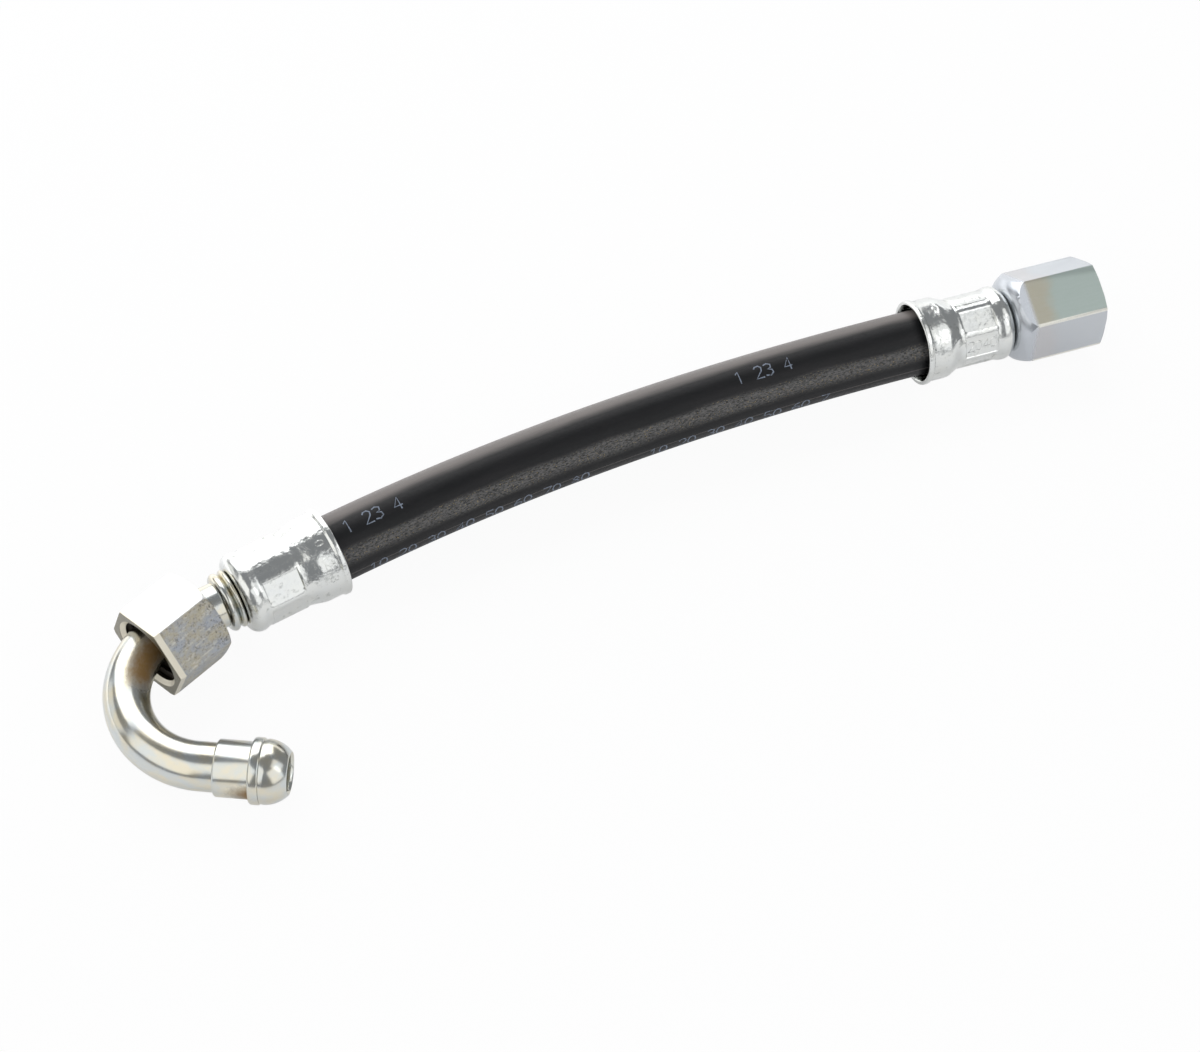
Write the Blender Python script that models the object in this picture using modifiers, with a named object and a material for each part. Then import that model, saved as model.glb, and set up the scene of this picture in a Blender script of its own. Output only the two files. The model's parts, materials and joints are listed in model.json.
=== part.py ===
"""Fuel hose for an engine bay, lying on the floor as it comes to rest.

A rubber hose is crimped at each end in a sheet steel ferrule. The left end is a hooked steel tube
with a ball nose and a loose union nut, the right end a short tube with a ball nose inside a swivel
nut. Lengths are in metres, +Z is up, and the origin is the middle of the bounding box's base.
"""

import math

import bmesh
import bpy
from mathutils import Matrix, Vector

MM = 0.001

# Gaps that keep neighbouring solids apart
FIT = 0.15 * MM
RUNNING = 0.25 * MM

# Fineness of round shapes
TURNED_STEPS = 40
TUBE_SIDES = 28
BEND_STEP = math.radians(6.5)
FLARE_STEPS = 6
ARC_STEPS = 6
SHARP_ANGLE = math.radians(30.0)

# How far a cutter goes on past what it cuts, and the hollow core that keeps a turned one closed
CUT_BEYOND = 2.0 * MM
CORE_RADIUS = 0.1 * MM

# Hose
HOSE_RADIUS = 7.5 * MM
HOSE_BORE_RADIUS = 4.75 * MM
HOSE_SPAN = 142.0 * MM
HOSE_SPAN_AZIMUTH = math.radians(24.95)
HOSE_SPAN_STEPS = 20
HOSE_END_GAP = 0.5 * MM

# Ferrules: flares start at a distance from the open rim, pads at one from the face by the fitting
FERRULE_LENGTH = 22.6 * MM
FERRULE_WALL = 0.8 * MM
RIM_RADIUS = 9.85 * MM
RIM_LIP = 1.5 * MM
RIM_EDGE = 0.2 * MM
BARREL_RADIUS = 9.45 * MM
SHOULDER_RADIUS = 8.6 * MM
SHOULDER_LENGTH = 2.3 * MM
SHOULDER_BULGE = 0.67 * MM
FERRULE_FACE_RADIUS = 6.3 * MM
PAD_COUNT = 8
PAD_DEPTH = 0.38 * MM
PAD_LENGTH = 8.2 * MM
LEFT_CRIMP_RADIUS = 8.55 * MM
LEFT_FLARE_FROM_RIM = 3.0 * MM
LEFT_PADS_FROM_FACE = 12.8 * MM
LEFT_PAD_TURN = math.radians(84.0)
RIGHT_CRIMP_RADIUS = 8.15 * MM
RIGHT_FLARE_FROM_RIM = 5.1 * MM
RIGHT_PADS_FROM_FACE = 12.8 * MM
RIGHT_PAD_TURN = math.radians(69.0)

# Steel tubes
TUBE_RADIUS = 5.0 * MM
TUBE_WALL = 1.0 * MM
TUBE_FROM_RIM = 3.0 * MM
BEND_FROM_FERRULE = 13.55 * MM
BEND_RADIUS = 17.9 * MM
NOSE_STRAIGHT = 3.5 * MM
BEAD_HEIGHT = 1.35 * MM
BEAD_WIDTH = 1.6 * MM
BEAD_FROM_FERRULE = 0.2 * MM
BEAD_COUNT = 2

# Directions in plan, from +X towards +Y
LEFT_AZIMUTH = math.radians(32.4)
RIGHT_AZIMUTH = math.radians(18.65)
NOSE_AZIMUTH = math.radians(-4.5)

# Ball nose, measured from the end of its sleeve
SLEEVE_RADIUS = 5.8 * MM
SLEEVE_LENGTH = 7.1 * MM
SLEEVE_CHAMFER = 0.4 * MM
COLLAR_RADIUS = 6.75 * MM
COLLAR_LENGTH = 2.2 * MM
COLLAR_EDGE = 0.5 * MM
BALL_RADIUS = 6.6 * MM
BALL_CENTRE = 9.75 * MM
NOSE_MOUTH_RADIUS = 4.35 * MM
NOSE_MOUTH_CHAMFER = 0.5 * MM
NOSE_SOCKET_DEPTH = 8.0 * MM

# Union nuts, measured from the threaded mouth
NUT_ACROSS_FLATS = 19.0 * MM
NUT_ACROSS_CORNERS = NUT_ACROSS_FLATS / math.cos(math.pi / 6)
LOWEST_CORNER = math.radians(240.0)
NUT_MOUTH_RADIUS = 8.4 * MM
THREAD_MINOR_RADIUS = 7.3 * MM
NUT_MOUTH_CHAMFER = 1.1 * MM
SEAT_LENGTH = 0.5 * MM
NUT_HOLE_RADIUS = SLEEVE_RADIUS + RUNNING

LEFT_NUT_LENGTH = 14.3 * MM
LEFT_NUT_BACK_WALL = 2.2 * MM
LEFT_NUT_HOLE_CHAMFER = 0.5 * MM
LEFT_NUT_BACK_RADIUS = 9.1 * MM
LEFT_NUT_BACK_CHAMFER = 1.6 * MM
LEFT_NUT_FRONT_CHAMFER = 0.3 * MM
LEFT_NUT_AZIMUTH = math.radians(228.2)
LEFT_NUT_ROLL = math.radians(6.0)
LEFT_NUT_MOUTH = 4.3 * MM
LEFT_NUT_AXIS_INSIDE_BEND = 2.1 * MM
LEFT_NUT_FLOOR_GAP = 0.03 * MM
LEFT_RIM_LIFT = 0.3 * MM

RIGHT_NUT_LENGTH = 21.15 * MM
RIGHT_NUT_FROM_FERRULE = FIT
RIGHT_NUT_HOLE_CHAMFER = 0.2 * MM
RIGHT_NUT_CORNER_LENGTH = 17.1 * MM
RIGHT_NUT_BACK_RADIUS = 6.75 * MM
RIGHT_NUT_BACK_BULGE = 0.5 * MM
RIGHT_NUT_ROLL = math.radians(27.7)
RIGHT_SLEEVE_FROM_FERRULE = 1.4 * MM

BLACK_RUBBER = ("hose_rubber", (0.012, 0.012, 0.014), 0.55, 0.0)
BRIGHT_ZINC = ("bright_zinc", (0.72, 0.74, 0.76), 0.16, 1.0)
WARM_ZINC = ("warm_zinc", (0.70, 0.68, 0.62), 0.20, 1.0)
WORN_STEEL = ("worn_steel", (0.42, 0.41, 0.38), 0.45, 1.0)
SATIN_ZINC = ("satin_zinc", (0.55, 0.57, 0.56), 0.35, 1.0)


def clear_scene():
    for obj in list(bpy.data.objects):
        bpy.data.objects.remove(obj, do_unlink=True)


def new_collection(name, is_helper=False):
    collection = bpy.data.collections.new(name)
    bpy.context.scene.collection.children.link(collection)
    collection.hide_render = is_helper
    return collection


def material(look):
    name, colour, roughness, metallic = look
    made = bpy.data.materials.get(name)
    if made is None:
        made = bpy.data.materials.new(name)
        made.use_nodes = True
        shader = made.node_tree.nodes["Principled BSDF"]
        shader.inputs["Base Color"].default_value = (*colour, 1.0)
        shader.inputs["Roughness"].default_value = roughness
        shader.inputs["Metallic"].default_value = metallic
        made.diffuse_color = (*colour, 1.0)
    return made


def direction(azimuth):
    return Vector((math.cos(azimuth), math.sin(azimuth), 0.0))


def axis_frame(origin, azimuth):
    """A frame whose Z runs along a level axis, with Y up and X to the axis's left."""
    along = direction(azimuth)
    left = direction(azimuth + math.pi / 2)
    frame = Matrix((left, Vector((0.0, 0.0, 1.0)), along)).transposed().to_4x4()
    return Matrix.Translation(origin) @ frame


def add_empty(name, collection, parent=None, local=None):
    empty = bpy.data.objects.new(name, None)
    empty.empty_display_size = 10 * MM
    collection.objects.link(empty)
    empty.parent = parent
    empty.matrix_local = local or Matrix.Identity(4)
    return empty


def add_object(name, data, collection, parent, look=None):
    obj = bpy.data.objects.new(name, data)
    collection.objects.link(obj)
    obj.parent = parent
    if look:
        data.materials.append(material(look))
    else:
        obj.hide_render = True
        obj.display_type = "WIRE"
    return obj


def turned(name, outline, collection, parent, look=None):
    """A solid turned round local Z. The outline runs down its outside and back up its inside."""
    mesh = bpy.data.meshes.new(name)
    bm = bmesh.new()
    corners = [bm.verts.new((radius, 0.0, height)) for radius, height in outline]
    for first, second in zip(corners, corners[1:] + corners[:1]):
        bm.edges.new((first, second))
    bm.to_mesh(mesh)
    bm.free()
    obj = add_object(name, mesh, collection, parent, look)
    screw = obj.modifiers.new("turn", "SCREW")
    screw.steps = TURNED_STEPS
    screw.render_steps = TURNED_STEPS
    screw.use_merge_vertices = True
    screw.merge_threshold = 0.001 * MM
    return obj


def swept(name, path, collection, parent, look=None):
    """A closed round bar along a path of (point, radius), as a mesh that booleans can use."""
    curve = bpy.data.curves.new(name + "_curve", "CURVE")
    curve.dimensions = "3D"
    curve.bevel_depth = 1.0
    curve.bevel_resolution = (TUBE_SIDES - 4) // 2
    curve.use_fill_caps = True
    spline = curve.splines.new("POLY")
    spline.points.add(len(path) - 1)
    for point, (place, radius) in zip(spline.points, path):
        point.co = (*place, 1.0)
        point.radius = radius
    guide = bpy.data.objects.new(name + "_guide", curve)
    bpy.context.scene.collection.objects.link(guide)
    bpy.context.view_layer.update()
    graph = bpy.context.evaluated_depsgraph_get()
    mesh = bpy.data.meshes.new_from_object(guide.evaluated_get(graph))
    mesh.name = name
    bpy.data.objects.remove(guide, do_unlink=True)
    bpy.data.curves.remove(curve)
    bm = bmesh.new()
    bm.from_mesh(mesh)
    bmesh.ops.remove_doubles(bm, verts=bm.verts, dist=0.0005 * MM)
    bmesh.ops.recalc_face_normals(bm, faces=bm.faces)
    bm.to_mesh(mesh)
    bm.free()
    mesh.materials.clear()
    return add_object(name, mesh, collection, parent, look)


def combine(obj, other, operation):
    boolean = obj.modifiers.new(other.name, "BOOLEAN")
    boolean.operation = operation
    boolean.solver = "EXACT"
    boolean.object = other


def blend(start, end, steps):
    """Points of an S-shaped step between two (radius, height) points, both ends included."""
    points = []
    for i in range(steps + 1):
        share = i / steps
        eased = share * share * (3 - 2 * share)
        points.append((start[0] + (end[0] - start[0]) * eased, start[1] + (end[1] - start[1]) * share))
    return points


def bulged(start, end, bulge, steps):
    """Points of an arc between two (radius, height) points, standing out from its chord."""
    chord = Vector(end) - Vector(start)
    out = Vector((-chord.y, chord.x)).normalized()
    middle = (Vector(start) + Vector(end)) / 2
    radius = (chord.length_squared / 4 + bulge * bulge) / (2 * bulge)
    centre = middle - out * (radius - bulge)
    half = math.asin(chord.length / 2 / radius)
    points = []
    for i in range(steps + 1):
        angle = half * (2 * i / steps - 1)
        points.append(tuple(centre + radius * (out * math.cos(angle) + chord.normalized() * math.sin(angle))))
    return points


def add_ferrule(name, crimp_radius, flare_start, pads_from_face, pad_turn, collection, cutters, parent):
    """A pressed sheet ferrule: open rim at Z = 0, crimped middle, shoulder turned in to the tube."""
    neck = TUBE_RADIUS + FIT
    pad_start = FERRULE_LENGTH - pads_from_face
    pad_end = pad_start + PAD_LENGTH
    squeeze = crimp_radius - PAD_DEPTH - FERRULE_WALL
    top = FERRULE_LENGTH
    shoulder = (SHOULDER_RADIUS, top - SHOULDER_LENGTH)
    outside = [(neck, top)]
    outside += bulged((FERRULE_FACE_RADIUS, top), shoulder, SHOULDER_BULGE, ARC_STEPS)
    outside += [(crimp_radius, pad_end), (crimp_radius, pad_start)]
    outside += blend((crimp_radius, pad_start), (BARREL_RADIUS, flare_start), FLARE_STEPS)[1:]
    outside += [(BARREL_RADIUS, RIM_LIP), (RIM_RADIUS, RIM_LIP / 2), (RIM_RADIUS, RIM_EDGE)]
    outside += [(RIM_RADIUS - RIM_EDGE, 0.0)]
    wide = BARREL_RADIUS - FERRULE_WALL
    inside = [(RIM_RADIUS - FERRULE_WALL, 0.0), (wide, RIM_LIP)]
    inside += blend((wide, flare_start), (squeeze, pad_start), FLARE_STEPS)
    inside += [(squeeze, top - SHOULDER_LENGTH), (neck + FERRULE_WALL, top - FERRULE_WALL)]
    inside += [(neck, top - FERRULE_WALL)]
    ferrule = turned(name, outside + inside, collection, parent, BRIGHT_ZINC)
    pads = bpy.data.meshes.new(name + "_pads")
    bm = bmesh.new()
    for i in range(PAD_COUNT):
        turn = Matrix.Rotation(pad_turn + math.tau * i / PAD_COUNT, 4, "Z")
        middle = Vector((crimp_radius - PAD_DEPTH + CUT_BEYOND / 2, 0.0, pad_start + PAD_LENGTH / 2))
        width = 2 * crimp_radius * math.sin(math.pi / PAD_COUNT)
        size = Matrix.Diagonal((CUT_BEYOND, width, PAD_LENGTH, 1.0))
        bmesh.ops.create_cube(bm, size=1.0, matrix=turn @ Matrix.Translation(middle) @ size)
    bm.to_mesh(pads)
    bm.free()
    combine(ferrule, add_object(name + "_pads", pads, cutters, parent), "DIFFERENCE")
    return ferrule


def add_ball_nose(name, collection, parent):
    """The turned bush on a tube's end: sleeve from Z = 0, collar, then a ball with the bore's mouth."""
    reach = math.sqrt(BALL_RADIUS**2 - NOSE_MOUTH_RADIUS**2)
    start = math.atan2(NOSE_MOUTH_RADIUS, reach)
    outline = []
    for i in range(ARC_STEPS + 1):
        angle = start + (math.pi / 2 - start) * i / ARC_STEPS
        outline.append((BALL_RADIUS * math.sin(angle), BALL_CENTRE + BALL_RADIUS * math.cos(angle)))
    collar_top = SLEEVE_LENGTH + COLLAR_LENGTH
    outline += [(COLLAR_RADIUS, collar_top), (COLLAR_RADIUS, SLEEVE_LENGTH + COLLAR_EDGE)]
    outline += [(COLLAR_RADIUS - COLLAR_EDGE, SLEEVE_LENGTH), (SLEEVE_RADIUS, SLEEVE_LENGTH)]
    outline += [(SLEEVE_RADIUS, SLEEVE_CHAMFER), (SLEEVE_RADIUS - SLEEVE_CHAMFER, 0.0)]
    bore = TUBE_RADIUS - TUBE_WALL
    socket = TUBE_RADIUS + FIT
    outline += [(socket, 0.0), (socket, NOSE_SOCKET_DEPTH), (bore, NOSE_SOCKET_DEPTH)]
    outline += [(bore, BALL_CENTRE + reach - NOSE_MOUTH_CHAMFER)]
    return turned(name, outline, collection, parent, WARM_ZINC)


def add_nut(name, blank, length, back_wall, hole_chamfer, roll, collection, cutters, parent, look):
    """A union nut with its mouth at Z = 0 and its back at Z = -length, the thread left smooth."""
    mesh = bpy.data.meshes.new(name)
    bm = bmesh.new()
    place = Matrix.Translation((0, 0, -length / 2)) @ Matrix.Rotation(roll - math.pi / 6, 4, "Z")
    radius = NUT_ACROSS_CORNERS / 2
    bmesh.ops.create_cone(
        bm, cap_ends=True, segments=6, radius1=radius, radius2=radius, depth=length, matrix=place
    )
    bm.to_mesh(mesh)
    bm.free()
    nut = add_object(name, mesh, collection, parent, look)
    combine(nut, turned(name + "_blank", blank, cutters, parent), "INTERSECT")
    steepness = (NUT_MOUTH_RADIUS - THREAD_MINOR_RADIUS) / NUT_MOUTH_CHAMFER
    seat = -length + back_wall
    back = -length - CUT_BEYOND
    bore = [(CORE_RADIUS, CUT_BEYOND), (NUT_MOUTH_RADIUS + steepness * CUT_BEYOND, CUT_BEYOND)]
    bore += [(THREAD_MINOR_RADIUS, -NUT_MOUTH_CHAMFER), (THREAD_MINOR_RADIUS, seat + SEAT_LENGTH)]
    hole = NUT_HOLE_RADIUS
    bore += [(hole, seat), (hole, -length + hole_chamfer), (hole + hole_chamfer + CUT_BEYOND, back)]
    bore += [(CORE_RADIUS, back)]
    combine(nut, turned(name + "_bore", bore, cutters, parent), "DIFFERENCE")
    return nut


def hose_path(left, right):
    """Points of the hose's free length, from rim to rim, as one smooth curve."""
    reach = HOSE_SPAN / 3
    left_handle = left + direction(LEFT_AZIMUTH) * reach
    right_handle = right - direction(RIGHT_AZIMUTH) * reach
    points = []
    for i in range(HOSE_SPAN_STEPS + 1):
        t = i / HOSE_SPAN_STEPS
        u = 1 - t
        points.append(u**3 * left + 3 * u * u * t * left_handle + 3 * u * t * t * right_handle + t**3 * right)
    return points


def add_hose(left, right, collection, cutters, parent):
    """The rubber hose: squeezed in each ferrule, with its bore stretched over each tube."""
    stretched = TUBE_RADIUS + FIT
    end = FERRULE_LENGTH - SHOULDER_LENGTH - HOSE_END_GAP
    into_left = -direction(LEFT_AZIMUTH)
    into_right = direction(RIGHT_AZIMUTH)

    def end_path(rim, into, stations):
        return [(rim + into * depth, radius) for depth, radius in stations]

    def outer(crimp_radius, flare_start, pads_from_face):
        squeezed = crimp_radius - PAD_DEPTH - FERRULE_WALL - FIT
        flare_middle = (flare_start + FERRULE_LENGTH - pads_from_face) / 2
        return [(flare_start, HOSE_RADIUS), (flare_middle, squeezed), (end, squeezed)]

    bore = [
        (TUBE_FROM_RIM - 2 * HOSE_END_GAP, HOSE_BORE_RADIUS),
        (TUBE_FROM_RIM - HOSE_END_GAP, stretched),
        (end + CUT_BEYOND, stretched),
    ]
    middle = hose_path(left, right)
    left_outer = outer(LEFT_CRIMP_RADIUS, LEFT_FLARE_FROM_RIM, LEFT_PADS_FROM_FACE)
    right_outer = outer(RIGHT_CRIMP_RADIUS, RIGHT_FLARE_FROM_RIM, RIGHT_PADS_FROM_FACE)
    body = end_path(left, into_left, left_outer)[::-1]
    body += [(point, HOSE_RADIUS) for point in middle]
    body += end_path(right, into_right, right_outer)
    hole = end_path(left, into_left, bore)[::-1]
    hole += [(point, HOSE_BORE_RADIUS) for point in middle]
    hole += end_path(right, into_right, bore)
    hose = swept("hose", body, collection, parent, BLACK_RUBBER)
    combine(hose, swept("hose_bore", hole, cutters, parent), "DIFFERENCE")
    return hose


def bead_stations():
    """(distance from the rim, radius) down both beads that stand against the left ferrule."""
    stations = []
    for bead in range(BEAD_COUNT):
        start = FERRULE_LENGTH + BEAD_FROM_FERRULE + bead * BEAD_WIDTH
        for i in range(ARC_STEPS + 1):
            angle = math.pi * i / ARC_STEPS
            if bead and not i:
                continue
            across = start + BEAD_WIDTH * (1 - math.cos(angle)) / 2
            stations.append((across, TUBE_RADIUS + BEAD_HEIGHT * math.sin(angle)))
    return stations


def bend_centre(rim):
    inward = direction(LEFT_AZIMUTH - math.pi / 2)
    stub = FERRULE_LENGTH + BEND_FROM_FERRULE
    return rim - direction(LEFT_AZIMUTH) * stub + inward * BEND_RADIUS


def bend_point(rim, angle):
    return bend_centre(rim) + direction(angle) * BEND_RADIUS


def nose_frame(rim):
    """The left ball nose's frame: Z along the hook's last straight, from the sleeve's end."""
    end = bend_point(rim, NOSE_AZIMUTH - math.pi / 2 + math.tau)
    return axis_frame(end + direction(NOSE_AZIMUTH) * NOSE_STRAIGHT, NOSE_AZIMUTH)


def add_bent_tube(rim, collection, cutters, parent):
    """The hooked tube: a plain end in the hose, two beads, the bend, and an end in the ball nose."""
    outward = -direction(LEFT_AZIMUTH)
    first = LEFT_AZIMUTH + math.pi / 2
    last = NOSE_AZIMUTH - math.pi / 2 + math.tau
    steps = math.ceil((last - first) / BEND_STEP)
    bend = [bend_point(rim, first + (last - first) * i / steps) for i in range(steps + 1)]
    stop = nose_frame(rim) @ Vector((0, 0, NOSE_SOCKET_DEPTH - FIT))
    beyond = nose_frame(rim) @ Vector((0, 0, NOSE_SOCKET_DEPTH + CUT_BEYOND))
    body = [(rim + outward * TUBE_FROM_RIM, TUBE_RADIUS)]
    body += [(rim + outward * distance, radius) for distance, radius in bead_stations()]
    body += [(point, TUBE_RADIUS) for point in bend] + [(stop, TUBE_RADIUS)]
    bore_radius = TUBE_RADIUS - TUBE_WALL
    hole = [(rim + outward * (TUBE_FROM_RIM - CUT_BEYOND), bore_radius)]
    hole += [(point, bore_radius) for point in bend] + [(beyond, bore_radius)]
    tube = swept("bent_tube", body, collection, parent, WARM_ZINC)
    combine(tube, swept("bent_tube_bore", hole, cutters, parent), "DIFFERENCE")
    return tube


def add_right_tube(collection, parent):
    """The short straight tube between the hose's right end and its ball nose."""
    far = FERRULE_LENGTH + RIGHT_SLEEVE_FROM_FERRULE + NOSE_SOCKET_DEPTH - FIT
    bore = TUBE_RADIUS - TUBE_WALL
    outline = [(TUBE_RADIUS, far), (TUBE_RADIUS, TUBE_FROM_RIM), (bore, TUBE_FROM_RIM), (bore, far)]
    return turned("right_tube", outline, collection, parent, WARM_ZINC)


def add_left_nut(collection, cutters, parent):
    """The short worn nut that hangs loose on the start of the bend."""
    corner = NUT_ACROSS_CORNERS / 2
    chamfer = LEFT_NUT_FRONT_CHAMFER
    blank = [(CORE_RADIUS, 0.0), (corner - chamfer, 0.0), (corner, -chamfer)]
    blank += [(corner, LEFT_NUT_BACK_CHAMFER - LEFT_NUT_LENGTH)]
    blank += [(LEFT_NUT_BACK_RADIUS, -LEFT_NUT_LENGTH), (CORE_RADIUS, -LEFT_NUT_LENGTH)]
    return add_nut(
        "left_union_nut",
        blank,
        LEFT_NUT_LENGTH,
        LEFT_NUT_BACK_WALL,
        LEFT_NUT_HOLE_CHAMFER,
        LEFT_NUT_ROLL,
        collection,
        cutters,
        parent,
        WORN_STEEL,
    )


def right_nut_mouth():
    """How far the right nut's mouth is from the right ferrule's rim."""
    return FERRULE_LENGTH + RIGHT_NUT_FROM_FERRULE + RIGHT_NUT_LENGTH


def add_right_nut(collection, cutters, parent):
    """The long swivel nut, whose rounded back stands against the right ferrule."""
    corner = NUT_ACROSS_CORNERS / 2
    corner_end = (corner, -RIGHT_NUT_CORNER_LENGTH)
    back_end = (RIGHT_NUT_BACK_RADIUS, -RIGHT_NUT_LENGTH)
    blank = [(CORE_RADIUS, CUT_BEYOND), (corner + CUT_BEYOND, CUT_BEYOND)]
    blank += bulged(corner_end, back_end, -RIGHT_NUT_BACK_BULGE, ARC_STEPS)
    blank += [(CORE_RADIUS, -RIGHT_NUT_LENGTH)]
    collar_from_nut_back = RIGHT_SLEEVE_FROM_FERRULE + SLEEVE_LENGTH - RIGHT_NUT_FROM_FERRULE
    back_wall = collar_from_nut_back - SEAT_LENGTH - FIT
    return add_nut(
        "right_union_nut",
        blank,
        RIGHT_NUT_LENGTH,
        back_wall,
        RIGHT_NUT_HOLE_CHAMFER,
        RIGHT_NUT_ROLL,
        collection,
        cutters,
        parent,
        SATIN_ZINC,
    )


def floor_frame(left_rim, right_frame):
    """Where the assembly lies on its ball nose and right nut, with the left rim just off the floor."""
    corner = NUT_ACROSS_CORNERS / 2
    lowest = RIGHT_NUT_ROLL + LOWEST_CORNER
    back = right_nut_mouth() - RIGHT_NUT_CORNER_LENGTH
    nut_point = right_frame @ Vector((corner * math.cos(lowest), corner * math.sin(lowest), back))
    collar = nose_frame(left_rim) @ Vector((0, -COLLAR_RADIUS, SLEEVE_LENGTH + COLLAR_LENGTH / 2))
    rim_point = left_rim - Vector((0, 0, RIM_RADIUS + LEFT_RIM_LIFT))
    up = (nut_point - rim_point).cross(collar - rim_point).normalized()
    if up.z < 0:
        up.negate()
    turn = up.rotation_difference(Vector((0, 0, 1))).to_matrix().to_4x4()
    return Matrix.Translation((0, 0, -(turn @ rim_point).z)) @ turn


def left_nut_frame(centre):
    """The loose nut's place: level, with one corner on the floor, turned part way into the bend."""
    lowest = LEFT_NUT_ROLL + LOWEST_CORNER
    height = LEFT_NUT_FLOOR_GAP - NUT_ACROSS_CORNERS / 2 * math.sin(lowest)
    foot = centre + direction(LEFT_NUT_AZIMUTH - math.pi / 2) * (BEND_RADIUS - LEFT_NUT_AXIS_INSIDE_BEND)
    mouth = foot + direction(LEFT_NUT_AZIMUTH) * LEFT_NUT_MOUTH
    return axis_frame(Vector((mouth.x, mouth.y, height)), LEFT_NUT_AZIMUTH)


def shade(collection):
    """Shades the round faces smooth, and keeps every edge that is sharper than SHARP_ANGLE crisp."""
    for obj in collection.objects:
        if obj.type != "MESH":
            continue
        obj.data.shade_smooth()
        crisp = obj.modifiers.new("crisp_edges", "EDGE_SPLIT")
        crisp.split_angle = SHARP_ANGLE


def centre_over_origin(root, collection):
    """Moves the whole part so that the middle of its bounding box lies over the origin."""
    bpy.context.view_layer.update()
    graph = bpy.context.evaluated_depsgraph_get()
    low = Vector((math.inf, math.inf))
    high = Vector((-math.inf, -math.inf))
    floor = math.inf
    for obj in collection.objects:
        if obj.type != "MESH":
            continue
        evaluated = obj.evaluated_get(graph)
        for vertex in evaluated.data.vertices:
            place = evaluated.matrix_world @ vertex.co
            low = Vector((min(low.x, place.x), min(low.y, place.y)))
            high = Vector((max(high.x, place.x), max(high.y, place.y)))
            floor = min(floor, place.z)
    middle = (low + high) / 2
    root.location = (-middle.x, -middle.y, -floor)
    bpy.context.view_layer.update()


def main():
    clear_scene()
    parts = new_collection("fuel_hose")
    cutters = new_collection("cutters", is_helper=True)
    left_rim = Vector((0.0, 0.0, 0.0))
    right_rim = direction(HOSE_SPAN_AZIMUTH) * HOSE_SPAN
    left_local = axis_frame(left_rim, LEFT_AZIMUTH + math.pi)
    right_local = axis_frame(right_rim, RIGHT_AZIMUTH)
    lying = floor_frame(left_rim, right_local)

    root = add_empty("fuel_hose_place", parts)
    assembly = add_empty("centreline_plane", parts, root, lying)
    left_end = add_empty("left_end", parts, assembly, left_local)
    right_end = add_empty("right_end", parts, assembly, right_local)
    nose_end = add_empty("nose_end", parts, assembly, nose_frame(left_rim))
    right_nose = Matrix.Translation((0, 0, FERRULE_LENGTH + RIGHT_SLEEVE_FROM_FERRULE))
    right_nose_end = add_empty("right_nose_end", parts, right_end, right_nose)
    swivel_place = Matrix.Translation((0, 0, right_nut_mouth()))
    swivel = add_empty("right_nut_swivel", parts, right_end, swivel_place)
    nut_place = left_nut_frame(lying @ bend_centre(left_rim))
    loose_nut = add_empty("left_nut_swivel", parts, root, nut_place)

    add_hose(left_rim, right_rim, parts, cutters, assembly)
    left_crimp = (LEFT_CRIMP_RADIUS, LEFT_FLARE_FROM_RIM, LEFT_PADS_FROM_FACE, LEFT_PAD_TURN)
    right_crimp = (RIGHT_CRIMP_RADIUS, RIGHT_FLARE_FROM_RIM, RIGHT_PADS_FROM_FACE, RIGHT_PAD_TURN)
    add_ferrule("left_ferrule", *left_crimp, parts, cutters, left_end)
    add_ferrule("right_ferrule", *right_crimp, parts, cutters, right_end)
    add_bent_tube(left_rim, parts, cutters, assembly)
    add_ball_nose("left_ball_nose", parts, nose_end)
    add_left_nut(parts, cutters, loose_nut)
    add_right_tube(parts, right_end)
    add_ball_nose("right_ball_nose", parts, right_nose_end)
    add_right_nut(parts, cutters, swivel)
    shade(parts)
    centre_over_origin(root, parts)


main()
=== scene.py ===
"""The finished look of a fuel hose: rubber between crimped ferrules, a hooked tube end and a nut end."""

import json
import math

import bmesh
import bpy
from mathutils import Matrix, Vector


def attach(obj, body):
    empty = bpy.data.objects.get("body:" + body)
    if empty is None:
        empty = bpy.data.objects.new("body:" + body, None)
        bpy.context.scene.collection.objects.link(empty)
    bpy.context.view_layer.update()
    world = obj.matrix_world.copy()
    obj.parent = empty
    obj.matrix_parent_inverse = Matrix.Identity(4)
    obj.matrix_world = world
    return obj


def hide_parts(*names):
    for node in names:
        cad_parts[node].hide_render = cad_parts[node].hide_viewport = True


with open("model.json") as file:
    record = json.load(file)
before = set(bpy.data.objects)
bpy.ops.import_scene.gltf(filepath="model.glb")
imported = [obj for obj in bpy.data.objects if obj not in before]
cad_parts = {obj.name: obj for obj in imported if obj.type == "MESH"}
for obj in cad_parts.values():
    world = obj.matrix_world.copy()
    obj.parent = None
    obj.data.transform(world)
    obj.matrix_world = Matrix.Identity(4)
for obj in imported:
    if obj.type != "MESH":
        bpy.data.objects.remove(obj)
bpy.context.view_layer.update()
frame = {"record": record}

MM = 0.001
TURN_STEPS = 96
TUBE_SIDES = 72
THIN = 0.01 * MM
BEND_STEPS = 72

WHITE_LIGHT = (1.0, 1.0, 1.0)
WARM_LIGHT = (1.0, 0.985, 0.95)

# Where the photograph was taken from
CAMERA_PLACE = (-7.56 * MM, -303.77 * MM, 379.3 * MM)
CAMERA_DOWN = math.radians(51.0)
CAMERA_LENS = 66.45
CAMERA_SENSOR = 36.0

# The plane that the hose's centreline lies in, and the directions of its ends in that plane
LEFT_RIM = (-64.8095 * MM, -11.5732 * MM, 10.1562 * MM)
PLANE_UP = (0.0250647, -0.0687065, 0.997322)
LEFT_AZIMUTH = math.radians(32.4)
RIGHT_AZIMUTH = math.radians(18.65)
NOSE_AZIMUTH = math.radians(-4.5)
HOSE_SPAN = 142.0 * MM
HOSE_SPAN_AZIMUTH = math.radians(24.95)

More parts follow.
